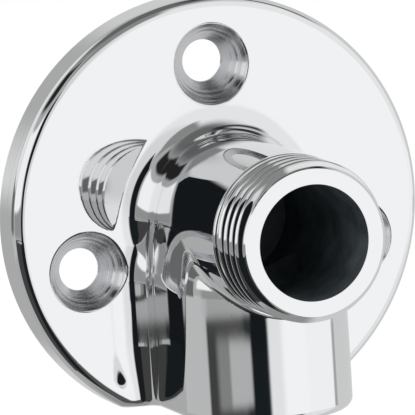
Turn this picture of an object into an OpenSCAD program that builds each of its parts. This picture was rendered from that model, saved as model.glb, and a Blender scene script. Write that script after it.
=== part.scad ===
// Wall outlet elbow: a round wall plate with three countersunk screw holes, a threaded outlet
// standing out of its middle, and a D-shaped inlet leg that drops along the plate to a flat end.
// Millimetres. The wall lies in the plane y = 0, the outlet points to -Y and +Z is up.
// The origin is where the outlet's axis meets the wall.

/* [Wall plate] */
// Diameter of the round plate
plate_d = 57.5; // [54:0.5:64]
// Thickness of the plate, from the wall to its face
plate_t = 6; // [5.5:0.25:8]
// Rounding of the plate's front edge
plate_edge_r = 1; // [0.5:0.25:1.5]
// Width of the rim that touches the wall around the hollow back
rim_w = 3; // [2.5:0.25:3.25]
// Depth of the hollow in the back
hollow_depth = 2.3; // [1.5:0.1:2.5]
// Rounding where the hollow's floor meets its walls
hollow_corner_r = 0.8; // [0.4:0.1:1.2]

/* [Screw holes] */
// Diameter of the circle that the three screw holes sit on
hole_circle_d = 40; // [39:0.25:41]
// Angle of each side hole below the outlet's axis
side_hole_drop = 16.5; // [12:0.5:20]
// Diameter of the straight hole for the screw
screw_hole_d = 5.6; // [4.5:0.1:6]
// Diameter of the countersink where it meets the face
countersink_d = 10.4; // [9.6:0.1:10.8]
// Length of the straight hole behind the countersink
hole_land = 0.6; // [0.4:0.1:1]

/* [Outlet] */
// Distance from the wall to the outlet's front
reach = 37.4; // [35:0.2:42]
// Crest diameter of the G 1/2 pipe thread on the outlet, within its tolerance
outlet_thread_d = 20.955; // [20.7:0.005:20.955]
// Pitch of the outlet's thread, 14 turns to the inch
outlet_pitch = 1.814; // [1.8:0.001:1.83]
// Depth of the outlet's thread, from crest to root
outlet_thread_depth = 1.162; // [1.1:0.002:1.18]
// Distance from the front to the thread's first crest
first_crest = 1.1; // [1:0.05:1.4]
// Length of the threaded end, from its shoulder to the front
threaded_len = 8.05; // [7.5:0.05:9.5]
// Outside diameter of the flat ring at the front
front_ring_d = 19; // [18.5:0.1:19.5]
// Diameter of the outlet's bore
outlet_bore_d = 15; // [13:0.25:15.5]
// Diameter of the smooth neck behind the thread
neck_d = 21.3; // [21.1:0.1:22]
// Radius of the hollow curve from the neck to the plate's face
neck_foot_r = 3.5; // [2:0.25:4]

/* [Inlet leg] */
// Width across the leg's flat side walls
leg_w = 22.8; // [22.4:0.2:24]
// Distance by which the leg's front stays behind the thread's shoulder
leg_setback = 0.15; // [0.1:0.05:0.5]
// Drop from the outlet's axis to the leg's flat end
leg_drop = 24.5; // [23.5:0.25:25.5]
// Drop from the outlet's axis to the centre of the leg's arched top
arch_drop = 8; // [7:0.25:9]
// Radius of the hollow curve from the leg to the plate's face
leg_foot_r = 4.5; // [3.5:0.25:5]
// Rounding along the edge of the flat end
end_edge_r = 1.2; // [0.6:0.1:1.5]

/* [Waterway] */
// Crest diameter of the G 3/8 pipe thread in the inlet, within its tolerance
inlet_thread_d = 14.95; // [14.95:0.005:15.395]
// Diameter of the inlet's mouth, just over the thread's root diameter
inlet_mouth_d = 16.8; // [16.7:0.1:17.4]
// Depth of the threaded inlet, from the flat end
inlet_depth = 12; // [10:0.25:13]
// Diameter of the channel from the inlet up into the outlet's bore
channel_d = 12; // [10:0.25:12.5]

/* [Hidden] */
$fn = 96;
// Distance by which a cutter passes the surface that it opens
clear = 1;
// Depth by which an added shape is sunk into the solid that it stands on
sink = 1.5;
plate_r = plate_d / 2;
neck_r = neck_d / 2;
outlet_thread_r = outlet_thread_d / 2;
front_ring_r = front_ring_d / 2;
leg_r = leg_w / 2;
hole_circle_r = hole_circle_d / 2;
screw_hole_r = screw_hole_d / 2;
countersink_r = countersink_d / 2;
inlet_thread_r = inlet_thread_d / 2;
inlet_mouth_r = inlet_mouth_d / 2;
shoulder_out = reach - threaded_len;
leg_axis_out = shoulder_out - leg_setback - leg_r;
front_chamfer = outlet_thread_r - front_ring_r;
// Half of the 55 degrees between a pipe thread's flanks
flank_angle = 27.5;
// Flat width left on a crest and at a root
thread_flat = outlet_pitch / 2 - outlet_thread_depth * tan(flank_angle);
inlet_chamfer = inlet_mouth_r - inlet_thread_r;
bore_end_out = leg_axis_out - outlet_bore_d / 2;
hollow_r = plate_r - rim_w;
// The pad behind the neck and the leg, left at the wall's plane, clears every countersink
pad_r = hole_circle_r - countersink_r - 0.3;
land_out = hollow_depth + hole_land;
countersink_slope = (countersink_r - screw_hole_r) / (plate_t - land_out);
hole_angles = [90, 180 + side_hole_drop, -side_hole_drop];

// Turns a profile of (radius, distance from the wall) about the outlet's axis.
module turned_out(angle = 360) {
    rotate([90, 0, 0])
        rotate_extrude(angle = angle)
            children();
}

// Places a shape made about +Z on the leg's upright axis, its front half towards -Y.
module on_leg_axis(height = 0) {
    translate([0, -leg_axis_out, height])
        rotate([0, 0, 180])
            children();
}

// Fills the corner right of x = 0 and above y = 0 with a hollow curve, sunk below and to the left.
module foot_2d(r) {
    difference() {
        translate([-sink, -sink])
            square([r + sink, r + sink]);
        translate([r, r])
            circle(r = r);
    }
}

// What a rounding of radius r takes off an edge at x = 0, y = 0 of a solid left of it and above it.
module edge_off_2d(r) {
    difference() {
        translate([-r, -clear])
            square([r + clear, r + clear]);
        translate([-r, r])
            circle(r = r);
    }
}

// Half profile of the plate, its front edge rounded.
module plate_2d() {
    square([plate_r, plate_t - plate_edge_r]);
    square([plate_r - plate_edge_r, plate_t]);
    translate([plate_r - plate_edge_r, plate_t - plate_edge_r])
        circle(r = plate_edge_r);
}

// The round plate, cut off level with the leg's end.
module plate() {
    difference() {
        turned_out()
            plate_2d();
        translate([-plate_r, -plate_t - clear, -leg_drop - plate_r])
            cube([plate_d, plate_t + 2 * clear, plate_r]);
    }
}

// What one groove of the thread takes off, its root at y = 0 and open to the right.
module groove_2d() {
    root_half = thread_flat / 2;
    mouth_half = root_half + (outlet_thread_depth + clear) * tan(flank_angle);
    polygon([
        [outlet_thread_r - outlet_thread_depth, -root_half],
        [outlet_thread_r + clear, -mouth_half],
        [outlet_thread_r + clear, mouth_half],
        [outlet_thread_r - outlet_thread_depth, root_half]
    ]);
}

// Half profile of the threaded end: the thread as ring grooves at its pitch, chamfered in front.
module threaded_end_2d() {
    difference() {
        union() {
            square([outlet_thread_r, reach - front_chamfer]);
            polygon([
                [0, reach - front_chamfer],
                [outlet_thread_r, reach - front_chamfer],
                [front_ring_r, reach],
                [0, reach]
            ]);
        }
        for (root = [first_crest + outlet_pitch / 2 : outlet_pitch : threaded_len]) {
            translate([0, reach - root])
                groove_2d();
        }
    }
}

// Half profile of the neck with its foot, the shoulder and the threaded end.
module outlet_2d() {
    square([neck_r, shoulder_out]);
    threaded_end_2d();
    translate([neck_r, plate_t])
        foot_2d(neck_foot_r);
}

// Half profile of the leg about its arched top: the wall with its foot on the plate.
module arch_2d() {
    square([leg_r, leg_axis_out]);
    translate([leg_r, plate_t])
        foot_2d(leg_foot_r);
}

// The leg seen from above, drawn as (x, distance from the wall): flat walls, round front and feet.
module leg_plan_2d() {
    for (side = [0, 1]) {
        mirror([side, 0])
            arch_2d();
    }
    translate([0, leg_axis_out])
        circle(r = leg_r);
}

// The straight stretch of the leg, from its flat end up to the arch's centre.
module leg_straight() {
    intersection() {
        translate([0, 0, -leg_drop])
            linear_extrude(height = leg_drop - arch_drop)
                mirror([0, 1])
                    leg_plan_2d();
        // Nothing of the foot stands past the plate's rim.
        turned_out()
            square([plate_r, reach]);
    }
}

// The arched top: a half-round back to the plate with its foot, closed in front by a quarter ball.
module leg_arch() {
    translate([0, 0, -arch_drop])
        turned_out(angle = 180)
            arch_2d();
    on_leg_axis(-arch_drop)
        rotate_extrude(angle = 180)
            intersection() {
                circle(r = leg_r);
                square([leg_r, leg_r]);
            }
}

// What the rounding takes off along the edge of the flat end: feet, flat walls and round front.
module end_edge_off() {
    foot_x = leg_r + leg_foot_r;
    foot_out = plate_t + leg_foot_r;
    translate([0, 0, -leg_drop]) {
        on_leg_axis()
            rotate_extrude(angle = 180)
                translate([leg_r, 0])
                    edge_off_2d(end_edge_r);
        for (side = [0, 1]) {
            mirror([side, 0, 0]) {
                translate([leg_r, -foot_out, 0])
                    rotate([90, 0, 0])
                        linear_extrude(height = leg_axis_out - foot_out)
                            edge_off_2d(end_edge_r);
                translate([foot_x, -foot_out, 0])
                    rotate([0, 0, 90])
                        rotate_extrude(angle = 90)
                            translate([leg_foot_r, 0])
                                mirror([1, 0])
                                    edge_off_2d(end_edge_r);
            }
        }
    }
}

// The outside of the casting before any hole is made.
module outside() {
    difference() {
        union() {
            plate();
            leg_straight();
            leg_arch();
            turned_out()
                outlet_2d();
        }
        end_edge_off();
    }
}

// The hollow in the plate's back, open round the pad behind the neck and the leg.
module back_hollow() {
    floor_r = hollow_corner_r;
    difference() {
        turned_out()
            difference() {
                translate([pad_r, -clear])
                    square([hollow_r - pad_r, hollow_depth + clear]);
                for (side = [0, 1]) {
                    translate([side == 0 ? pad_r : hollow_r - floor_r, hollow_depth - floor_r])
                        difference() {
                            square([floor_r, floor_r]);
                            translate([side == 0 ? floor_r : 0, 0])
                                circle(r = floor_r);
                        }
                }
            }
        translate([-pad_r, -hollow_depth - clear, -plate_r])
            cube([2 * pad_r, hollow_depth + 2 * clear + 1, plate_r]);
    }
}

// One screw hole on the outlet-parallel axis: straight land behind, countersink in front.
module screw_hole() {
    turned_out() {
        square([screw_hole_r, plate_t]);
        polygon([
            [0, land_out],
            [screw_hole_r, land_out],
            [countersink_r + clear * countersink_slope, plate_t + clear],
            [0, plate_t + clear]
        ]);
    }
}

// The three screw holes, one above the outlet and one on each side.
module screw_holes() {
    for (a = hole_angles) {
        translate([hole_circle_r * cos(a), 0, hole_circle_r * sin(a)])
            screw_hole();
    }
}

// The waterway: inlet with its chamfered mouth, upright channel and outlet bore.
module waterway() {
    translate([0, -leg_axis_out, -leg_drop])
        rotate_extrude() {
            square([inlet_thread_r, inlet_depth]);
            square([channel_d / 2, leg_drop]);
            polygon([
                [0, -clear],
                [inlet_mouth_r + clear, -clear],
                [inlet_thread_r, inlet_chamfer],
                [0, inlet_chamfer]
            ]);
        }
    turned_out()
        translate([0, bore_end_out])
            square([outlet_bore_d / 2, reach - bore_end_out + clear]);
}

// The whole elbow: one brass casting, chrome plated.
module elbow_body() {
    color([0.78, 0.79, 0.81])
        difference() {
            outside();
            back_hollow();
            screw_holes();
            waterway();
        }
}

elbow_body();
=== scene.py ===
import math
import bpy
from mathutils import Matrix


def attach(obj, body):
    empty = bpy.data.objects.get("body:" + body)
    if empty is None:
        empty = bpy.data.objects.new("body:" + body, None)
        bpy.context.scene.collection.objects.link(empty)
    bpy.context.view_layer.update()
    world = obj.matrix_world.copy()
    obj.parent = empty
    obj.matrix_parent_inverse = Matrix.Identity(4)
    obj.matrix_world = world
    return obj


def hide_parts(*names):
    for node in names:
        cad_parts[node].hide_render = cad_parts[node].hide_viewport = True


bl_info = {
    "name": "Wall outlet elbow",
    "version": (1, 0, 0),
    "blender": (4, 5, 0),
    "location": "3D View > Sidebar > Elbow",
    "description": "Chrome-plated wall elbow with a threaded outlet, and the studio round it",
    "category": "Add Mesh",
}

from collections import namedtuple
from functools import partial
from types import SimpleNamespace

import bmesh
import bpy
import numpy as np
from bpy.props import FloatProperty, FloatVectorProperty, IntProperty, PointerProperty
from mathutils import Matrix, Vector

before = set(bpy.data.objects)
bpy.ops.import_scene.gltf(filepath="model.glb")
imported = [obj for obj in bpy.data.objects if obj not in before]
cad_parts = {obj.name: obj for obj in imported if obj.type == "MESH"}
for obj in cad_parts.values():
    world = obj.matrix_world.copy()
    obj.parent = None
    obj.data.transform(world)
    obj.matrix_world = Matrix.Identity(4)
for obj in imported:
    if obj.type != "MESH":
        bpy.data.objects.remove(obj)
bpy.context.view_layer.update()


# Colours and nodes

def linear(hex_colour):
    """An sRGB hex colour as the linear values that Blender's sockets take."""
    values = [int(hex_colour[i:i + 2], 16) / 255 for i in (1, 3, 5)]
    return [v / 12.92 if v <= 0.04045 else ((v + 0.055) / 1.055) ** 2.4 for v in values]


def add_node(tree, kind, inputs=(), **settings):
    """Add one node: its settings, then its inputs by name or in order, each linked or set to a value."""
    node = tree.nodes.new(kind)
    for name, value in settings.items():
        setattr(node, name, value)
    for socket, value in (inputs if isinstance(inputs, dict) else dict(enumerate(inputs))).items():
        source = value.outputs[0] if isinstance(value, bpy.types.Node) else value
        if isinstance(source, bpy.types.NodeSocket):
            tree.links.new(source, node.inputs[socket])
        else:
            node.inputs[socket].default_value = source
    return node


# Sizes and colours that a user would change

def length(name, description, metres):
    return FloatProperty(name=name, description=description, default=metres, min=0.0, unit="LENGTH", precision=6)


class ElbowSizes(bpy.types.PropertyGroup):
    """Sizes of the elbow, the same as in its solid model"""
    plate_radius: length("Plate radius", "Radius of the round wall plate", 0.02875)
    plate_thickness: length("Plate thickness", "From the wall to the plate's face", 0.006)
    plate_edge: length("Plate edge", "Rounding of the plate's front edge", 0.0015)
    hollow_rim: length("Rim width", "Width of the rim round the hollow back", 0.003)
    hollow_depth: length("Hollow depth", "Depth of the hollow in the back", 0.0023)
    hollow_corner: length("Hollow corner", "Rounding along the hollow's floor", 0.0008)
    pad_radius: length("Pad radius", "Half width of the pad behind neck and leg", 0.0145)
    hole_circle: length("Hole circle radius", "Radius of the circle of the screw holes", 0.020)
    hole_radius: length("Screw hole radius", "Radius of the straight screw hole", 0.0028)
    hole_land: length("Hole land", "Length of the straight hole behind the countersink", 0.0006)
    countersink_radius: length("Countersink radius", "Radius of the countersink on the face", 0.0052)
    countersink_edge: length("Countersink edge", "Rounding that polishing leaves on its edge", 0.00015)
    reach: length("Reach", "From the wall to the outlet's front", 0.0374)
    neck_radius: length("Neck radius", "Radius of the smooth neck", 0.01065)
    neck_foot: length("Neck foot", "Hollow curve from the neck to the face", 0.0032)
    neck_sweep: length("Neck sweep", "How far from the neck that curve starts on the face", 0.0039)
    flare_height: length("Flare height", "How far the face swells at the neck's foot", 0.0004)
    flare_radius: length("Flare radius", "Where the swell round the neck ends", 0.0232)
    flare_lift: length("Flare lift", "How far above the outlet's axis the swell is centred", 0.002)
    thread_radius: length("Thread crest radius", "Crest radius of the G 1/2 thread", 0.0104775)
    thread_pitch: length("Thread pitch", "From crest to crest, 14 turns to the inch", 0.0018143)
    thread_depth: length("Thread depth", "From crest to root", 0.001162)
    threaded_length: length("Threaded length", "From the shoulder to the front", 0.00805)
    first_crest: length("First crest", "From the front to the first crest, on the left side", 0.0011)
    ring_radius: length("Front ring radius", "Outside radius of the flat ring in front", 0.0095)
    bore_radius: length("Bore radius", "Radius of the outlet's bore", 0.0075)
    leg_radius: length("Leg half width", "Half width across the leg's flat walls", 0.0114)
    leg_setback: length("Leg setback", "How far the leg's front stays behind the shoulder", 0.00015)
    leg_drop: length("Leg drop", "From the outlet's axis to the flat end", 0.0245)
    leg_foot: length("Leg foot", "Hollow curve from the leg to the face", 0.0032)
    leg_sweep: length("Leg sweep", "How far from the leg that curve starts on the face", 0.0058)
    leg_foot_end: length("Leg foot at the end", "The same curve at the leg's flat end", 0.0022)
    leg_sweep_end: length("Leg sweep at the end", "How far from the leg it starts at the flat end", 0.0036)
    arch_drop: length("Arch drop", "From the outlet's axis to the centre of the arched top", 0.008)
    end_edge: length("End edge", "Rounding along the edge of the flat end", 0.0012)
    crease_back: length("Crease at the plate", "Blend between neck and leg near the plate", 0.0022)
    crease_front: length("Crease at the thread", "Blend between neck and leg near the thread", 0.0004)
    inlet_radius: length("Inlet radius", "Crest radius of the inside thread", 0.007475)
    inlet_mouth: length("Inlet mouth radius", "Radius of the chamfered mouth", 0.0084)
    inlet_depth: length("Inlet depth", "Depth of the threaded inlet", 0.012)
    channel_radius: length("Channel radius", "Radius of the channel between inlet and bore", 0.006)
    side_hole_drop: FloatProperty(name="Side hole drop", description="Angle of the side holes below the axis",
                                  default=math.radians(16.5), unit="ROTATION")
    turns_around: IntProperty(name="Steps around", description="Steps around the thread", default=224, min=48)
    steps_along: IntProperty(name="Steps along", description="Steps along the thread", default=150, min=40)


def colour(name, description, hex_colour):
    return FloatVectorProperty(name=name, description=description, default=linear(hex_colour),
                               size=3, min=0.0, max=1.0, subtype="COLOR")


class ElbowFinish(bpy.types.PropertyGroup):
    """Colours and surface of the metal"""
    chrome: colour("Chrome", "Polished chrome plate", "#F0F1F2")
    turned: colour("Countersinks", "Chrome plate over the tool's rings", "#DDDEE0")
    bore: colour("Bore", "Unplated wall of the bore, darkened by water", "#343C40")
    bore_light: colour("Bore, lighter patches", "Where the tarnish of the bore is thinner", "#4C5559")
    polish: FloatProperty(name="Polish", description="Roughness of the polished plate", default=0.012, min=0.0, max=1.0)
    streaks: length("Streaks", "Depth of the buffing streaks round the rim", 0.00001)
    rings: length("Rings", "Depth of the tool's rings in the countersinks", 0.00003)


def in_mm(group):
    """The sizes of a property group in millimetres, angles as they are."""
    sizes = {}
    for name, prop in group.bl_rna.properties.items():
        if prop.type == "FLOAT":
            value = getattr(group, name)
            sizes[name] = value * 1000 if prop.unit == "LENGTH" else value
    return SimpleNamespace(**sizes)


# The form of the casting as one distance function, in millimetres

def soft_step(low, high, value):
    t = np.clip((value - low) / (high - low), 0.0, 1.0)
    return t * t * (3 - 2 * t)


def joined(a, b, radius):
    """Two solids joined with a hollow curve of the radius along their seam."""
    return np.maximum(radius, np.minimum(a, b)) - np.hypot(np.maximum(radius - a, 0), np.maximum(radius - b, 0))


def eased(distance, sweep, radius):
    """A distance squeezed so that a hollow curve of the radius starts gently, at the sweep's length."""
    return radius * (1 - np.maximum(1 - distance / sweep, 0) ** (sweep / radius))


def cut(a, b, radius):
    """What two solids share, its edge rounded to the radius."""
    return np.minimum(-radius, np.maximum(a, b)) + np.hypot(np.maximum(a + radius, 0), np.maximum(b + radius, 0))


def hole_centres(s):
    angles = (math.radians(90), math.pi + s.side_hole_drop, -s.side_hole_drop)
    return [(s.hole_circle * math.cos(a), s.hole_circle * math.sin(a)) for a in angles]


def face_out(x, z, s):
    """Distance from the wall to the face: casting and polishing leave it slightly swollen towards the neck."""
    inward = np.maximum(s.flare_radius - np.hypot(x, z - s.flare_lift), 0)
    swell = s.flare_height * (inward / (s.flare_radius - s.neck_radius - s.neck_foot)) ** 2
    return s.plate_thickness + swell * soft_step(-11, 5, z)


def countersink_cone(x, z, out, s):
    """Distance from the nearest countersink's cone, below zero in the hole, and from its straight wall."""
    land = s.hollow_depth + s.hole_land
    slope = (s.countersink_radius - s.hole_radius) / (s.plate_thickness - land)
    nearest = np.min([np.hypot(x - cx, z - cz) for cx, cz in hole_centres(s)], axis=0) - s.hole_radius
    return (nearest - slope * (out - land)) / math.hypot(1, slope), nearest


def casting_distance(p, s):
    """Distance of points from the casting's skin, below zero inside the metal."""
    x, z, out = p[:, 0], p[:, 2], -p[:, 1]
    rad = np.hypot(x, z)
    shoulder = s.reach - s.threaded_length
    leg_axis = shoulder - s.leg_setback - s.leg_radius

    # Neck and leg, blended softly by the plate and sharply by the thread
    leg = np.sqrt(x ** 2 + np.maximum(z + s.arch_drop, 0) ** 2 + np.maximum(out - leg_axis, 0) ** 2) - s.leg_radius
    neck = rad - s.neck_radius
    crease = s.crease_back + (s.crease_front - s.crease_back) * soft_step(s.plate_thickness + 8, shoulder - 1, out)
    stem = joined(neck, leg, crease)
    spigot = np.maximum(rad - s.thread_radius, (rad - s.ring_radius + out - s.reach) / math.sqrt(2))
    stem = np.minimum(np.maximum(stem, out - shoulder), np.maximum(spigot, out - s.reach))
    # The foot is tight by the flat end and widens up the leg, then follows the neck.
    low = soft_step(-s.leg_drop - 1, -s.leg_drop + 8.5, z)
    high = soft_step(-10, 8, z)
    foot = s.leg_foot_end + (s.leg_foot - s.leg_foot_end) * low
    foot = foot + (s.neck_foot - foot) * high
    sweep = s.leg_sweep_end + (s.leg_sweep - s.leg_sweep_end) * low
    sweep = sweep + (s.neck_sweep - sweep) * high
    solid = joined(eased(stem, sweep, foot), out - face_out(x, z, s), foot)

    # Outline, flat end and back
    solid = cut(solid, rad - s.plate_radius, s.plate_edge)
    edge = 0.2 + (s.end_edge - 0.2) * soft_step(s.plate_thickness - 1.2, s.plate_thickness + 0.4, out)
    solid = cut(solid, -s.leg_drop - z, edge)
    solid = np.maximum(solid, -out)
    hollow = cut(cut(rad - (s.plate_radius - s.hollow_rim), s.pad_radius - rad, 0.01),
                 out - s.hollow_depth, s.hollow_corner)
    hollow = np.maximum(hollow, np.minimum(s.pad_radius - np.abs(x), -z))
    solid = np.maximum(solid, -hollow)

    # Screw holes
    cone, straight = countersink_cone(x, z, out, s)
    hole = np.maximum(np.minimum(straight, cone), out - s.plate_thickness - 1)
    solid = cut(solid, -hole, s.countersink_edge)

    # Waterway
    upright = np.hypot(x, out - leg_axis)
    bore = np.maximum(rad - s.bore_radius, leg_axis - s.bore_radius - out)
    channel = np.maximum(upright - s.channel_radius, z)
    inlet = np.maximum(upright - s.inlet_radius, z + s.leg_drop - s.inlet_depth)
    mouth = (upright - s.inlet_mouth + z + s.leg_drop) / math.sqrt(2)
    waterway = np.minimum(np.minimum(bore, channel), np.minimum(inlet, mouth))
    return np.maximum(solid, -waterway)


def casting_slope(p, s, step=0.002):
    """Slope of the distance function at each point, by central differences."""
    slope = np.empty_like(p)
    for axis in range(3):
        shift = np.zeros(3)
        shift[axis] = step
        slope[:, axis] = (casting_distance(p + shift, s) - casting_distance(p - shift, s)) / (2 * step)
    return slope


def unit(v):
    return v / np.maximum(np.linalg.norm(v, axis=1, keepdims=True), 1e-12)


# Meshes

def mesh_points(mesh):
    points = np.empty(len(mesh.vertices) * 3)
    mesh.vertices.foreach_get("co", points)
    return points.reshape(-1, 3)


def new_piece(name, mesh):
    piece = bpy.data.objects.new(name, mesh)
    bpy.context.scene.collection.objects.link(piece)
    return piece


def grain(p, s):
    """Longest edge wanted at each point: short where the skin bends sharply, longer further off."""
    x, z, out = p[:, 0], p[:, 2], -p[:, 1]
    rad = np.hypot(x, z)
    leg_axis = s.reach - s.threaded_length - s.leg_setback - s.leg_radius
    leg = np.sqrt(x ** 2 + np.maximum(z + s.arch_drop, 0) ** 2 + np.maximum(out - leg_axis, 0) ** 2) - s.leg_radius
    neck = rad - s.neck_radius
    inside = np.minimum(neck, leg)
    face = out - s.plate_thickness
    crease = np.hypot(neck, leg)
    foot = np.hypot(np.maximum(inside - s.leg_foot, 0), np.maximum(face - s.leg_foot, 0))
    rim = np.hypot(rad - s.plate_radius + s.plate_edge / 2, face + s.plate_edge / 2)
    want = np.minimum(0.34 + 0.6 * np.maximum(crease - 1.4, 0), 0.5 + 0.6 * foot)
    want = np.minimum(want, 0.46 + 0.8 * np.maximum(rim - s.plate_edge, 0))
    edge = np.hypot(countersink_cone(x, z, out, s)[0], out - face_out(x, z, s))
    want = np.minimum(want, 0.18 + 0.7 * np.maximum(edge - 0.4, 0))
    # Behind the face and inside the waterway nothing bends sharply in view.
    return np.where((face < -1.2 * s.plate_edge) | (inside < -0.4) & (face > 0), 1e9, want)


def split_triangles(points, triangles, middles):
    """Cut triangles at the middles of their sides ab, bc and ca; -1 stands for a side that stays whole."""
    made = [triangles[(middles < 0).all(axis=1)]]
    (a, b, c), (ab, bc, ca) = (rows[(middles >= 0).all(axis=1)].T for rows in (triangles, middles))
    made += [np.stack(corners, axis=1) for corners in ((a, ab, ca), (ab, b, bc), (ca, bc, c), (ab, bc, ca))]
    for turn in range(3):
        turned, on_sides = np.roll(triangles, turn, axis=1), np.roll(middles, turn, axis=1)
        is_cut = on_sides >= 0
        one = is_cut[:, 0] & ~is_cut[:, 1] & ~is_cut[:, 2]
        (a, b, c), ab = turned[one].T, on_sides[one, 0]
        made += [np.stack(corners, axis=1) for corners in ((a, ab, c), (ab, b, c))]
        for diagonal_from_a in (True, False):
            two = ~is_cut[:, 0] & is_cut[:, 1] & is_cut[:, 2]
            from_a = np.linalg.norm(points[turned[:, 0]] - points[on_sides[:, 1]], axis=1)
            from_b = np.linalg.norm(points[turned[:, 1]] - points[on_sides[:, 2]], axis=1)
            two &= (from_a <= from_b) == diagonal_from_a
            (a, b, c), (bc, ca) = turned[two].T, on_sides[two, 1:].T
            quad = ((a, b, bc), (a, bc, ca)) if diagonal_from_a else ((a, b, ca), (b, bc, ca))
            made += [np.stack(corners, axis=1) for corners in (*quad, (ca, bc, c))]
    return np.concatenate(made)


def refined(points, triangles, s):
    """Halve the sides that are longer than the grain at either end, until none is left."""
    for _ in range(14):
        sides = np.sort(triangles[:, [0, 1, 1, 2, 2, 0]].reshape(-1, 2), axis=1)
        pairs, place = np.unique(sides, axis=0, return_inverse=True)
        starts, ends = points[pairs[:, 0]], points[pairs[:, 1]]
        is_long = np.linalg.norm(starts - ends, axis=1) > np.minimum(grain(starts, s), grain(ends, s))
        if not is_long.any():
            break
        middles = np.full(len(pairs), -1)
        middles[is_long] = len(points) + np.arange(is_long.sum())
        points = np.concatenate((points, (starts[is_long] + ends[is_long]) / 2))
        triangles = split_triangles(points, triangles, middles[place.ravel()].reshape(-1, 3))
    return points, triangles


def settled(points, s):
    """The points moved onto the casting's skin."""
    for _ in range(5):
        gap = casting_distance(points, s)
        slope = casting_slope(points, s)
        move = gap[:, None] * slope / np.maximum((slope ** 2).sum(1, keepdims=True), 0.25)
        points = points - np.clip(move, -0.3, 0.3)
    return points


def shade_as_cast(mesh, s):
    """Give every corner the true normal of the skin, so that reflections run unbroken."""
    points = mesh_points(mesh) * 1000
    count = len(mesh.loops)
    corner_vert = np.empty(count, dtype=np.int32)
    mesh.loops.foreach_get("vertex_index", corner_vert)
    corner_face = np.repeat(np.arange(len(mesh.polygons)), 3)
    face_normal = np.empty(len(mesh.polygons) * 3)
    mesh.polygons.foreach_get("normal", face_normal)
    flat = face_normal.reshape(-1, 3)[corner_face]
    centre = points[corner_vert].reshape(-1, 3, 3).mean(axis=1)[corner_face]
    here = points[corner_vert]
    best = unit(casting_slope(points, s))[corner_vert]
    # A vertex is on a sharp edge where its faces disagree; there each face keeps its own side.
    total = np.zeros_like(points)
    for axis in range(3):
        total[:, axis] = np.bincount(corner_vert, flat[:, axis], len(points))
    agree = (unit(total)[corner_vert] * flat).sum(1)
    worst = np.ones(len(points))
    np.minimum.at(worst, corner_vert, agree)
    sharp = np.nonzero(worst[corner_vert] < math.cos(math.radians(17)))[0]
    fit = (best[sharp] * flat[sharp]).sum(1)
    for share in (0.1, 0.3, 0.6, 1.0):
        inner = here[sharp] + share * (centre[sharp] - here[sharp])
        trial = unit(casting_slope(inner, s))
        trial_fit = (trial * flat[sharp]).sum(1) - 0.002 * share
        better = (fit < math.cos(math.radians(9))) & (trial_fit > fit + 0.002)
        best[sharp[better]] = trial[better]
        fit = np.where(better, trial_fit, fit)
    lost = sharp[fit < math.cos(math.radians(25))]
    best[lost] = flat[lost]
    mesh.polygons.foreach_set("use_smooth", np.ones(len(mesh.polygons), dtype=bool))
    mesh.normals_split_custom_set(best.tolist())


# Materials

def chrome_material(sizes, finish):
    """Bright chrome over buffed brass: a near-white mirror, with a breath of haze that comes and goes."""
    material = bpy.data.materials.new("chrome_plate_polished")
    material.use_nodes = True
    tree = material.node_tree
    tree.nodes.clear()
    node = partial(add_node, tree)
    # Haze in soft patches some 12 mm wide
    place = node("ShaderNodeTexCoord").outputs["Object"]
    patches = node("ShaderNodeTexNoise", {"Vector": place, "Scale": 1 / 0.012, "Detail": 1.0})
    haze = node("ShaderNodeMapRange", {"Value": patches, "From Min": 0.35, "From Max": 0.75,
                                       "To Min": finish.polish, "To Max": finish.polish * 3})
    shader = node("ShaderNodeBsdfPrincipled", {"Base Color": (*finish.chrome, 1), "Metallic": 1.0,
                                               "Roughness": haze.outputs[0]})
    node("ShaderNodeOutputMaterial", {"Surface": shader})
    return material


def rim_material(sizes, finish):
    """The same chrome on the plate's rim, where the buffing wheel left fine streaks all the way round."""
    material = bpy.data.materials.new("chrome_plate_buffed_rim")
    material.use_nodes = True
    tree = material.node_tree
    tree.nodes.clear()
    node = partial(add_node, tree)
    axes = node("ShaderNodeSeparateXYZ", (node("ShaderNodeTexCoord").outputs["Object"],))
    flat = node("ShaderNodeCombineXYZ", {"X": axes.outputs["X"], "Z": axes.outputs["Z"]})
    radius = node("ShaderNodeVectorMath", (flat,), operation="LENGTH").outputs["Value"]
    # Streaks 0.5 mm apart: noise by radius and depth that changes slowly with the angle
    along = node("ShaderNodeVectorMath", (flat,), operation="NORMALIZE")
    stretched = node("ShaderNodeVectorMath", {0: along, 3: 2.2}, operation="SCALE")
    across = node("ShaderNodeMath", (radius, 1 / 0.0005), operation="MULTIPLY")
    down = node("ShaderNodeMath", (axes.outputs["Y"], 1 / 0.0005), operation="MULTIPLY")
    spot = node("ShaderNodeVectorMath", (stretched, node("ShaderNodeCombineXYZ", (across, down, across))))
    streaks = node("ShaderNodeTexNoise", {"Vector": spot, "Scale": 1.0, "Detail": 1.0})
    streaked = node("ShaderNodeBump", {"Height": streaks, "Strength": 1.0, "Distance": finish.streaks})
    shader = node("ShaderNodeBsdfPrincipled", {"Base Color": (*finish.chrome, 1), "Metallic": 1.0,
                                               "Roughness": finish.polish, "Normal": streaked})
    node("ShaderNodeOutputMaterial", {"Surface": shader})
    return material


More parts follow.
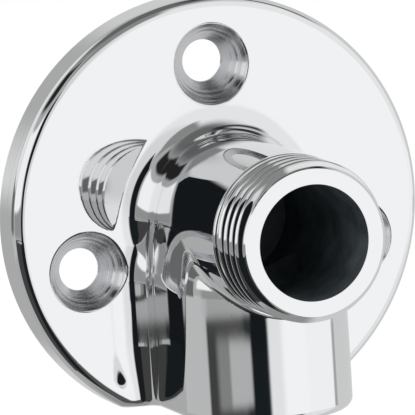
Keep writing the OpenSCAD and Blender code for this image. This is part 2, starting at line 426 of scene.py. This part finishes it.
def turned_material(sizes, finish):
    """Chrome over a countersink as the tool left it: fine rings and chatter blur the mirror into soft sectors."""
    material = bpy.data.materials.new("chrome_over_turned_brass")
    material.use_nodes = True
    tree = material.node_tree
    tree.nodes.clear()
    node = partial(add_node, tree)
    axes = node("ShaderNodeSeparateXYZ", (node("ShaderNodeTexCoord").outputs["Object"],))
    nearest = 1.0
    for cx, cz in hole_centres(sizes):
        aside = node("ShaderNodeMath", (axes.outputs["X"], cx), operation="SUBTRACT")
        above = node("ShaderNodeMath", (axes.outputs["Z"], cz), operation="SUBTRACT")
        away = node("ShaderNodeCombineXYZ", (aside, 0.0, above))
        radius = node("ShaderNodeVectorMath", (away,), operation="LENGTH").outputs["Value"]
        nearest = node("ShaderNodeMath", (nearest, radius), operation="MINIMUM")
    # Tool rings 0.3 mm apart; the real ones are finer, but would not show in the render.
    turn = node("ShaderNodeMath", (nearest, 1 / 0.0003), operation="MULTIPLY")
    rings = node("ShaderNodeTexNoise", {"W": turn, "Scale": 1.0, "Detail": 3.0}, noise_dimensions="1D")
    ringed = node("ShaderNodeBump", {"Height": rings, "Strength": 1.0, "Distance": finish.rings})
    rough = node("ShaderNodeMapRange", {"Value": rings, "From Min": 0.3, "From Max": 0.7,
                                        "To Min": 0.12, "To Max": 0.3})
    shader = node("ShaderNodeBsdfPrincipled", {"Base Color": (*finish.turned, 1), "Metallic": 1.0,
                                               "Roughness": rough.outputs[0], "Normal": ringed})
    node("ShaderNodeOutputMaterial", {"Surface": shader})
    return material


def bore_material(sizes, finish):
    """Drilled brass darkened by water: almost black, dull, with faint rings of the drill."""
    material = bpy.data.materials.new("brass_drilled_tarnished")
    material.use_nodes = True
    tree = material.node_tree
    tree.nodes.clear()
    node = partial(add_node, tree)
    place = node("ShaderNodeTexCoord").outputs["Object"]
    axes = node("ShaderNodeSeparateXYZ", (place,))
    # Drill rings 0.7 mm apart along the bore
    turn = node("ShaderNodeMath", (axes.outputs["Y"], 1 / 0.0007), operation="MULTIPLY")
    rings = node("ShaderNodeTexNoise", {"W": turn, "Scale": 1.0, "Detail": 2.0}, noise_dimensions="1D")
    ringed = node("ShaderNodeBump", {"Height": rings, "Strength": 1.0, "Distance": 0.00004})
    # Tarnish in patches some 3 mm wide
    patches = node("ShaderNodeTexNoise", {"Vector": place, "Scale": 1 / 0.003, "Detail": 4.0})
    spread = node("ShaderNodeMapRange", {"Value": patches, "From Min": 0.3, "From Max": 0.7})
    tone = node("ShaderNodeMix", {0: spread, 6: (*finish.bore, 1), 7: (*finish.bore_light, 1)}, data_type="RGBA")
    shader = node("ShaderNodeBsdfPrincipled", {"Base Color": tone.outputs[2], "Metallic": 0.4,
                                               "Roughness": 0.45, "Normal": ringed})
    node("ShaderNodeOutputMaterial", {"Surface": shader})
    return material


def material_once(name, make):
    """The named material, made on first use."""
    scene = bpy.context.scene
    return bpy.data.materials.get(name) or make(scene.elbow_sizes, scene.elbow_finish)


# The studio

# Floor: how far below the outlet's axis, and its radius, in metres
FLOOR_DROP = 0.8
FLOOR_RADIUS = 12.0

Panel = namedtuple("Panel", "name left right low high soft_across soft_up colour")

# What stands round the polished metal, far off and painted in this order over white, in degrees.
# Azimuth is 0 straight in front of the outlet and grows to the right; elevation is 0 at its height.
PANELS = (
    Panel("room walls", -200, 200, -75, 75, 1, 30, "#B0B0B0"),
    Panel("ceiling", -200, 200, 60, 120, 1, 24, "#686868"),
    Panel("ground", -200, 200, -120, -66, 1, 16, "#969696"),
    Panel("right box", -19, 112, -30, 50, 8, 28, "#F0F0F0"),
    Panel("front shade", -20, 7, -9, 60, 10, 10, "#DEDEDE"),
    Panel("front high shade", -30, 14, 34, 62, 8, 6, "#8C8C8C"),
    Panel("upper right flag", 70, 130, 33, 75, 14, 10, "#323232"),
    Panel("right band", 36, 118, -20, -2, 16, 3, "#FCFCFC"),
    Panel("right low box", 30, 118, -64, -16, 8, 8, "#ECECEC"),
    Panel("far right wall", 86, 176, -70, 60, 14, 14, "#D2D2D2"),
    Panel("stand on the right", 83, 89, -13, -10.25, 3, 0.2, "#AAAAAA"),
    Panel("low left wall", -150, -96, -16, -7, 4, 3, "#C0C0C0"),
    Panel("left strip box", -112, -42, -0.5, 30, 6, 3, "#FCFCFC"),
    Panel("left strip's far end", -145, -108, 8, 34, 10, 8, "#E4E4E4"),
    Panel("left high flag", -104, -46, 38, 57, 12, 5, "#262626"),
    Panel("left upper box", -160, -126, -2, 58, 10, 8, "#ECECEC"),
    Panel("left wall", -104, -38, -9.5, -0.5, 10, 3, "#969696"),
    Panel("front low flag", -22, 32, -66, -24, 10, 6, "#545454"),
    Panel("left low flag", -99, -15, -62, -10.2, 5, 0.12, "#424242"),
    Panel("left low flag's core", -46, -15, -56, -10.2, 8, 0.12, "#1A1F22"),
    Panel("window's dim side", -84, -44, -11.25, -10.42, 10, 0.2, "#868686"),
    Panel("window in the flag", -66, -37, -11.2, -10.46, 5, 0.15, "#B6B6B6"),
    Panel("rear flag", -157.3, -118, -8.5, 5, 1.5, 3, "#6A6A6A"),
    Panel("camera and its stand", -36, -16, -10.6, 26, 4, 0.3, "#171B1E"),
    Panel("front box", 4, 40, -20, 4, 10, 8, "#FFFFFF"),
)


def panel_group():
    """Node group: one soft-edged panel painted over what is behind it, by direction in degrees."""
    tree = bpy.data.node_groups.new("Soft panel", "ShaderNodeTree")
    for name in ("Azimuth", "Elevation", "Centre Azimuth", "Half Width", "Centre Elevation", "Half Height",
                 "Softness Across", "Softness Up"):
        tree.interface.new_socket(name, in_out="INPUT", socket_type="NodeSocketFloat")
    for name in ("Behind", "Colour"):
        tree.interface.new_socket(name, in_out="INPUT", socket_type="NodeSocketColor")
    tree.interface.new_socket("Colour", in_out="OUTPUT", socket_type="NodeSocketColor")
    node = partial(add_node, tree)
    given = node("NodeGroupInput").outputs
    aside = node("ShaderNodeMath", (given["Azimuth"], given["Centre Azimuth"]), operation="SUBTRACT")
    across = node("ShaderNodeMath", (aside, 180.0, -180.0), operation="WRAP")
    up = node("ShaderNodeMath", (given["Elevation"], given["Centre Elevation"]), operation="SUBTRACT")
    covers = []
    for offset, half, softness in ((across, given["Half Width"], given["Softness Across"]),
                                   (up, given["Half Height"], given["Softness Up"])):
        blur = node("ShaderNodeMath", (softness, 0.5), operation="MULTIPLY")
        covers.append(node("ShaderNodeMapRange", {
            "Value": node("ShaderNodeMath", (offset,), operation="ABSOLUTE"),
            "From Min": node("ShaderNodeMath", (half, blur), operation="SUBTRACT"),
            "From Max": node("ShaderNodeMath", (half, blur), operation="ADD"),
            "To Min": 1.0, "To Max": 0.0}, interpolation_type="SMOOTHSTEP"))
    share = node("ShaderNodeMath", covers, operation="MULTIPLY")
    painted = node("ShaderNodeMix", {0: share, 6: given["Behind"], 7: given["Colour"]}, data_type="RGBA")
    node("NodeGroupOutput", {"Colour": painted.outputs[2]})
    return tree


def studio_world():
    """White all round; polished metal also sees the boxes, walls and flags that stand before the white."""
    world = bpy.data.worlds.new("studio")
    # Sampled by the surface alone, because what is seen depends on the kind of ray.
    world.cycles.sampling_method = "NONE"
    world.use_nodes = True
    tree = world.node_tree
    tree.nodes.clear()
    node = partial(add_node, tree)
    group = panel_group()
    way = node("ShaderNodeSeparateXYZ", (node("ShaderNodeTexCoord").outputs["Generated"],)).outputs
    front = node("ShaderNodeMath", (way["Y"], -1.0), operation="MULTIPLY")
    turn = node("ShaderNodeMath", (way["X"], front), operation="ARCTAN2")
    azimuth = node("ShaderNodeMath", (turn,), operation="DEGREES")
    rise = node("ShaderNodeMath", (way["Z"],), operation="ARCSINE")
    elevation = node("ShaderNodeMath", (rise,), operation="DEGREES")
    white = (1.0, 1.0, 1.0, 1.0)
    behind = white
    for panel in PANELS:
        behind = node("ShaderNodeGroup", {
            "Azimuth": azimuth, "Elevation": elevation,
            "Centre Azimuth": (panel.left + panel.right) / 2, "Half Width": (panel.right - panel.left) / 2,
            "Centre Elevation": (panel.low + panel.high) / 2, "Half Height": (panel.high - panel.low) / 2,
            "Softness Across": panel.soft_across, "Softness Up": panel.soft_up,
            "Behind": behind, "Colour": (*linear(panel.colour), 1)}, node_tree=group, label=panel.name)
    glossy = node("ShaderNodeLightPath").outputs["Is Glossy Ray"]
    seen = node("ShaderNodeMix", {0: glossy, 6: white, 7: behind}, data_type="RGBA")
    node("ShaderNodeOutputWorld", {"Surface": node("ShaderNodeBackground", {"Color": seen.outputs[2]})})
    return world


def floor_material():
    """Matt white paper: plain and even, it shows nothing but a soft shadow."""
    material = bpy.data.materials.new("paper_matt_white")
    material.use_nodes = True
    tree = material.node_tree
    tree.nodes.clear()
    shader = add_node(tree, "ShaderNodeBsdfDiffuse", {"Color": (*linear("#FFFFFF"), 1)})
    add_node(tree, "ShaderNodeOutputMaterial", {"Surface": shader})
    return material


# Operators

class ELBOW_OT_casting(bpy.types.Operator):
    """Make the casting: plate, neck, leg, screw holes and waterway, without the thread"""
    bl_idname = "elbow.casting"
    bl_label = "Casting"

    def execute(self, context):
        s = in_mm(context.scene.elbow_sizes)
        finish = context.scene.elbow_finish
        bm = bmesh.new()
        bm.from_mesh(bpy.data.objects["elbow_body"].data)
        bmesh.ops.remove_doubles(bm, verts=bm.verts, dist=0.000002)
        # The thread piece stands for the threaded end.
        threaded = []
        for face in bm.faces:
            centre = face.calc_center_median() * 1000
            rad = math.hypot(centre.x, centre.z)
            if -centre.y > s.reach - s.threaded_length + 0.001 and rad > s.bore_radius + 0.02:
                threaded.append(face)
        bmesh.ops.delete(bm, geom=threaded, context="FACES")
        bmesh.ops.triangulate(bm, faces=list(bm.faces))
        bm.verts.index_update()
        points = np.array([vert.co for vert in bm.verts]) * 1000
        triangles = np.array([[vert.index for vert in face.verts] for face in bm.faces])
        bm.free()
        # The second round works on points that already lie on the skin.
        for _ in range(2):
            points, triangles = refined(points, triangles, s)
            points = settled(points, s)
        mesh = bpy.data.meshes.new("casting")
        mesh.from_pydata(points / 1000, [], triangles)
        mesh.materials.append(material_once("chrome_plate_polished", chrome_material))
        mesh.materials.append(material_once("brass_drilled_tarnished", bore_material))
        mesh.materials.append(material_once("chrome_over_turned_brass", turned_material))
        mesh.materials.append(material_once("chrome_plate_buffed_rim", rim_material))
        leg_axis = s.reach - s.threaded_length - s.leg_setback - s.leg_radius
        for face in mesh.polygons:
            centre = face.center * 1000
            in_bore = math.hypot(centre.x, centre.z) < s.bore_radius + 0.02 and -centre.y > leg_axis - s.bore_radius - 0.02
            in_leg = (math.hypot(centre.x, -centre.y - leg_axis) < s.inlet_mouth + 0.02
                      and -s.leg_drop + 0.001 < centre.z < 0.01 and -centre.y > 4)
            cone, straight = countersink_cone(centre.x, centre.z, -centre.y, s)
            if in_bore or in_leg:
                face.material_index = 1
            elif s.hollow_depth + 0.001 < -centre.y < s.plate_thickness + 1 and min(cone, straight) < 0.02:
                face.material_index = 2
            elif math.hypot(centre.x, centre.z) > s.plate_radius - s.plate_edge and -centre.y > s.hollow_depth:
                face.material_index = 3
        shade_as_cast(mesh, s)
        piece = new_piece("casting", mesh)
        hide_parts("elbow_body")
        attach(piece, "root")
        return {"FINISHED"}


def thread_tree():
    """Node group: a pipe thread as a sheet wrapped round the outlet, with the flat ring in front."""
    tree = bpy.data.node_groups.new("Pipe thread", "GeometryNodeTree")
    tree.interface.new_socket("Geometry", in_out="OUTPUT", socket_type="NodeSocketGeometry")
    for name in ("Reach", "Crest Radius", "Pitch", "Depth", "Length", "First Crest", "Ring Radius", "Bore Radius"):
        tree.interface.new_socket(name, in_out="INPUT", socket_type="NodeSocketFloat")
    for name in ("Steps Around", "Steps Along"):
        tree.interface.new_socket(name, in_out="INPUT", socket_type="NodeSocketInt")
    tree.interface.new_socket("Material", in_out="INPUT", socket_type="NodeSocketMaterial")
    node = partial(add_node, tree)
    given = node("NodeGroupInput").outputs
    columns = node("ShaderNodeMath", (given["Steps Around"], 1.0), operation="ADD")
    rows = node("ShaderNodeMath", (given["Steps Along"], 3.0), operation="ADD")
    grid = node("GeometryNodeMeshGrid", {"Size X": 1.0, "Size Y": 1.0, "Vertices X": columns, "Vertices Y": rows})
    place = node("ShaderNodeSeparateXYZ", (node("GeometryNodeInputPosition"),))
    turn = node("ShaderNodeMath", (place.outputs["X"], 0.5), operation="ADD")
    share = node("ShaderNodeMath", (place.outputs["Y"], 0.5), operation="ADD")
    steps = node("ShaderNodeMath", (given["Steps Along"], 2.0), operation="ADD")
    row = node("ShaderNodeMath", (share, steps), operation="MULTIPLY")
    # Rows 0 to 2 are the flat ring, from the bore's edge; the rest run back from the front.
    past_ring = node("ShaderNodeMath", (node("ShaderNodeMath", (row, 2.0), operation="SUBTRACT"), 0.0),
                     operation="MAXIMUM")
    along = node("ShaderNodeMath", (past_ring, given["Steps Along"]), operation="DIVIDE")
    behind = node("ShaderNodeMath", (along, given["Length"]), operation="MULTIPLY")
    across = node("ShaderNodeMath", (node("ShaderNodeMath", (row, 0.5), operation="MULTIPLY"), 1.0),
                  operation="MINIMUM")
    # The groove is a wave that moves back by one pitch in each turn.
    past_crest = node("ShaderNodeMath", (behind, given["First Crest"]), operation="SUBTRACT")
    pitches = node("ShaderNodeMath", (past_crest, given["Pitch"]), operation="DIVIDE")
    phase = node("ShaderNodeMath", (pitches, turn), operation="SUBTRACT")
    wave = node("ShaderNodeMath", (node("ShaderNodeMath", (phase, 2 * math.pi), operation="MULTIPLY"),),
                operation="COSINE")
    half_depth = node("ShaderNodeMath", (given["Depth"], 0.5), operation="MULTIPLY")
    groove = node("ShaderNodeMath", (node("ShaderNodeMath", (1.0, wave), operation="SUBTRACT"), half_depth),
                  operation="MULTIPLY")
    # The groove runs out just before the shoulder.
    left = node("ShaderNodeMath", (given["Length"], behind), operation="SUBTRACT")
    run_out = node("ShaderNodeMapRange", {"Value": left, "From Min": 0.0006, "From Max": 0.0001,
                                          "To Min": 1.0, "To Max": 0.0}, interpolation_type="SMOOTHSTEP")
    cut_depth = node("ShaderNodeMath", (groove, run_out), operation="MULTIPLY")
    cut_radius = node("ShaderNodeMath", (given["Crest Radius"], cut_depth), operation="SUBTRACT")
    chamfer = node("ShaderNodeMath", (given["Ring Radius"], behind), operation="ADD")
    sheet = node("ShaderNodeMath", (cut_radius, chamfer, 0.00008), operation="SMOOTH_MIN")
    outer = node("ShaderNodeMath", (sheet, across), operation="MULTIPLY")
    inner = node("ShaderNodeMath", (given["Bore Radius"], node("ShaderNodeMath", (1.0, across),
                                                               operation="SUBTRACT")), operation="MULTIPLY")
    radius = node("ShaderNodeMath", (outer, inner), operation="ADD")
    # Clockwise from the left side, as seen from the front, which makes the thread right-handed
    angle = node("ShaderNodeMath", (node("ShaderNodeMath", (0.5, turn), operation="SUBTRACT"), 2 * math.pi),
                 operation="MULTIPLY")
    cosine = node("ShaderNodeMath", (angle,), operation="COSINE")
    sine = node("ShaderNodeMath", (angle,), operation="SINE")
    wrapped = node("ShaderNodeCombineXYZ", {
        "X": node("ShaderNodeMath", (radius, cosine), operation="MULTIPLY"),
        "Y": node("ShaderNodeMath", (behind, given["Reach"]), operation="SUBTRACT"),
        "Z": node("ShaderNodeMath", (radius, sine), operation="MULTIPLY")})
    moved = node("GeometryNodeSetPosition", {"Geometry": grid, "Position": wrapped})
    closed = node("GeometryNodeMergeByDistance", {"Geometry": moved, "Distance": 0.000001})
    smooth = node("GeometryNodeSetShadeSmooth", {"Geometry": closed}, domain="FACE")
    bend = node("GeometryNodeInputMeshEdgeAngle").outputs["Unsigned Angle"]
    sharp = node("FunctionNodeCompare", (bend, math.radians(32)), data_type="FLOAT", operation="GREATER_THAN")
    creased = node("GeometryNodeSetShadeSmooth", {"Geometry": smooth, "Selection": sharp, "Shade Smooth": False},
                   domain="EDGE")
    real = node("GeometryNodeRealizeInstances", {"Geometry": creased})
    painted = node("GeometryNodeSetMaterial", {"Geometry": real, "Material": given["Material"]})
    node("NodeGroupOutput", {"Geometry": painted})
    return tree


class ELBOW_OT_thread(bpy.types.Operator):
    """Make the outlet's pipe thread with the flat ring in front"""
    bl_idname = "elbow.thread"
    bl_label = "Outlet thread"

    def execute(self, context):
        sizes = context.scene.elbow_sizes
        tree = thread_tree()
        host = new_piece("outlet_thread_host", bpy.data.meshes.new("outlet_thread_host"))
        modifier = host.modifiers.new("Pipe thread", "NODES")
        modifier.node_group = tree
        given = {"Reach": sizes.reach, "Crest Radius": sizes.thread_radius, "Pitch": sizes.thread_pitch,
                 "Depth": sizes.thread_depth, "Length": sizes.threaded_length, "First Crest": sizes.first_crest,
                 "Ring Radius": sizes.ring_radius, "Bore Radius": sizes.bore_radius,
                 "Steps Around": sizes.turns_around, "Steps Along": sizes.steps_along,
                 "Material": material_once("chrome_plate_polished", chrome_material)}
        for socket in tree.interface.items_tree:
            if socket.in_out == "INPUT":
                modifier[socket.identifier] = given[socket.name]
        context.view_layer.update()
        made = host.evaluated_get(context.evaluated_depsgraph_get())
        mesh = bpy.data.meshes.new_from_object(made)
        if not mesh.polygons:
            raise RuntimeError("the thread's node group made no faces")
        bpy.data.objects.remove(host)
        mesh.name = "outlet_thread"
        # Faces point outwards: the ring's face looks along the outlet.
        ring = min(mesh.polygons, key=lambda face: face.center.y)
        if ring.normal.y > 0:
            mesh.flip_normals()
        piece = new_piece("outlet_thread", mesh)
        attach(piece, "root")
        return {"FINISHED"}


class ELBOW_OT_studio(bpy.types.Operator):
    """Set the camera, the pale floor and the soft light of the studio"""
    bl_idname = "elbow.studio"
    bl_label = "Studio"

    def execute(self, context):
        scene = context.scene
        for name in ("Cube", "Light", "Camera"):
            if name in bpy.data.objects:
                bpy.data.objects.remove(bpy.data.objects[name])
        azimuth, elevation, roll = math.radians(21.684), math.radians(8.988), math.radians(-3.574)
        view = Vector((math.sin(azimuth) * math.cos(elevation), math.cos(azimuth) * math.cos(elevation),
                       -math.sin(elevation)))
        right = view.cross(Vector((0, 0, 1))).normalized()
        up = right.cross(view)
        side = math.cos(roll) * right + math.sin(roll) * up
        top = -math.sin(roll) * right + math.cos(roll) * up
        data = bpy.data.cameras.new("camera")
        data.sensor_width = 36
        data.lens = 456.5
        data.clip_start = 0.01
        data.clip_end = 20
        camera = bpy.data.objects.new("camera", data)
        scene.collection.objects.link(camera)
        turn = Matrix((side, top, -view)).transposed().to_4x4()
        camera.matrix_world = Matrix.Translation(-0.7 * view + 0.000599 * side - 0.000057 * top) @ turn
        scene.camera = camera
        scene.view_settings.view_transform = "Standard"
        floor_finish = floor_material()
        bm = bmesh.new()
        bmesh.ops.create_circle(bm, cap_ends=True, segments=96, radius=FLOOR_RADIUS)
        bmesh.ops.translate(bm, vec=(0, 0, -FLOOR_DROP), verts=bm.verts)
        mesh = bpy.data.meshes.new("floor")
        bm.to_mesh(mesh)
        bm.free()
        mesh.materials.append(floor_finish)
        floor = new_piece("floor", mesh)
        # The metal mirrors the studio's boxes and flags all round, also those below the floor's height.
        floor.visible_glossy = False
        scene.world = studio_world()
        return {"FINISHED"}


class ELBOW_PT_panel(bpy.types.Panel):
    """Lists the elbow's pieces and their sizes"""
    bl_idname = "ELBOW_PT_panel"
    bl_label = "Wall outlet elbow"
    bl_space_type = "VIEW_3D"
    bl_region_type = "UI"
    bl_category = "Elbow"

    def draw(self, context):
        layout = self.layout
        for operator in (ELBOW_OT_casting, ELBOW_OT_thread, ELBOW_OT_studio):
            layout.operator(operator.bl_idname)
        for group in (context.scene.elbow_sizes, context.scene.elbow_finish):
            column = layout.column(align=True)
            for name in group.bl_rna.properties.keys():
                if name not in {"rna_type", "name"}:
                    column.prop(group, name)


CLASSES = (ElbowSizes, ElbowFinish, ELBOW_OT_casting, ELBOW_OT_thread, ELBOW_OT_studio, ELBOW_PT_panel)


def register():
    for cls in CLASSES:
        bpy.utils.register_class(cls)
    bpy.types.Scene.elbow_sizes = PointerProperty(type=ElbowSizes)
    bpy.types.Scene.elbow_finish = PointerProperty(type=ElbowFinish)


def unregister():
    del bpy.types.Scene.elbow_finish
    del bpy.types.Scene.elbow_sizes
    for cls in reversed(CLASSES):
        bpy.utils.unregister_class(cls)


def main():
    register()
    bpy.ops.elbow.casting()
    bpy.ops.elbow.thread()
    bpy.ops.elbow.studio()


if __name__ == "__main__":
    main()
